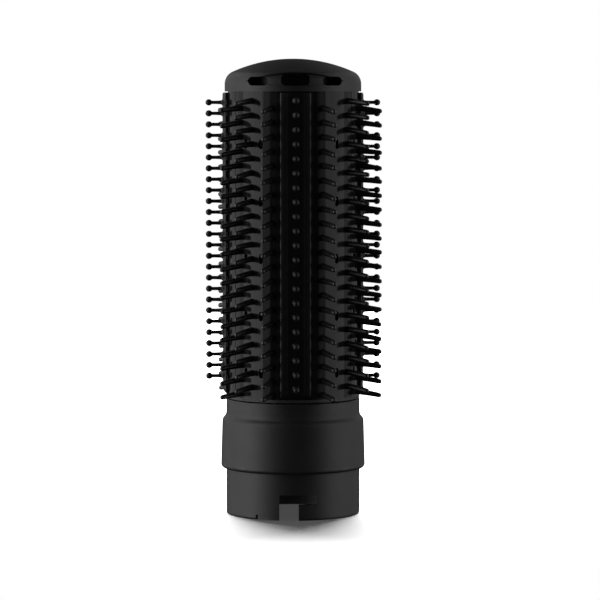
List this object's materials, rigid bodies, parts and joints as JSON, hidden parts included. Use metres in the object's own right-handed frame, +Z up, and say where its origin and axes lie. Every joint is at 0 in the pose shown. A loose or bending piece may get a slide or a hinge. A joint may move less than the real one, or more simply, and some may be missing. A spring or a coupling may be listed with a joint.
{
  "type": "hot air brush head",
  "caption": "Round turning brush head of a hot air styler, with a bayonet socket, a flared collar, bristle rails, long nylon pins and a domed vented end cap.",
  "frame": {"origin": "centre of the socket rim, the face that the head stands on", "axes": "+Z up the barrel to the end cap, -Y to the front, where the bayonet's upright slot and one rail are"},
  "size_m": [0.0546, 0.0546, 0.1423],
  "materials": {
    "satin_casing": "fine satin moulded black",
    "inner_frame": "heat-resistant moulded plastic",
    "plate_coating": "glossy dark ceramic coat on aluminium",
    "rail_nylon": "satin nylon",
    "pin_nylon": "semi-gloss nylon",
    "bright_steel": "turned steel",
    "bronze": "sintered bronze",
    "washer_plastic": "low-friction plastic"
  },
  "bodies": {
    "collar": {"socket_sleeve": "satin_casing", "collar_shell": "satin_casing", "bearing_spider": "inner_frame", "spider_screws": "bright_steel", "spindle_bush": "bronze", "thrust_washer": "washer_plastic"},
    "brush": {"end_cap": "satin_casing", "foot_hub": "inner_frame", "middle_hub": "inner_frame", "top_hub": "inner_frame", "air_deflector": "inner_frame", "drive_coupling": "inner_frame", "drive_spindle": "bright_steel", "spindle_clip": "bright_steel", "front_rail": "rail_nylon", "right_rail": "rail_nylon", "back_rail": "rail_nylon", "left_rail": "rail_nylon", "plate_1_pin_row_1": "pin_nylon", "plate_1_pin_row_2": "pin_nylon", "plate_1_pin_row_3": "pin_nylon", "plate_2_pin_row_1": "pin_nylon", "plate_2_pin_row_2": "pin_nylon", "plate_2_pin_row_3": "pin_nylon", "plate_3_pin_row_1": "pin_nylon", "plate_3_pin_row_2": "pin_nylon", "plate_3_pin_row_3": "pin_nylon", "plate_4_pin_row_1": "pin_nylon", "plate_4_pin_row_2": "pin_nylon", "plate_4_pin_row_3": "pin_nylon", "plate_1": "plate_coating", "plate_2": "plate_coating", "plate_3": "plate_coating", "plate_4": "plate_coating"}
  },
  "joints": [
    {"name": "brush_spin", "type": "hinge", "parent": "collar", "child": "brush", "pos_m": [0, 0, 0], "axis": [0, 0, 1], "continuous": true}
  ]
}
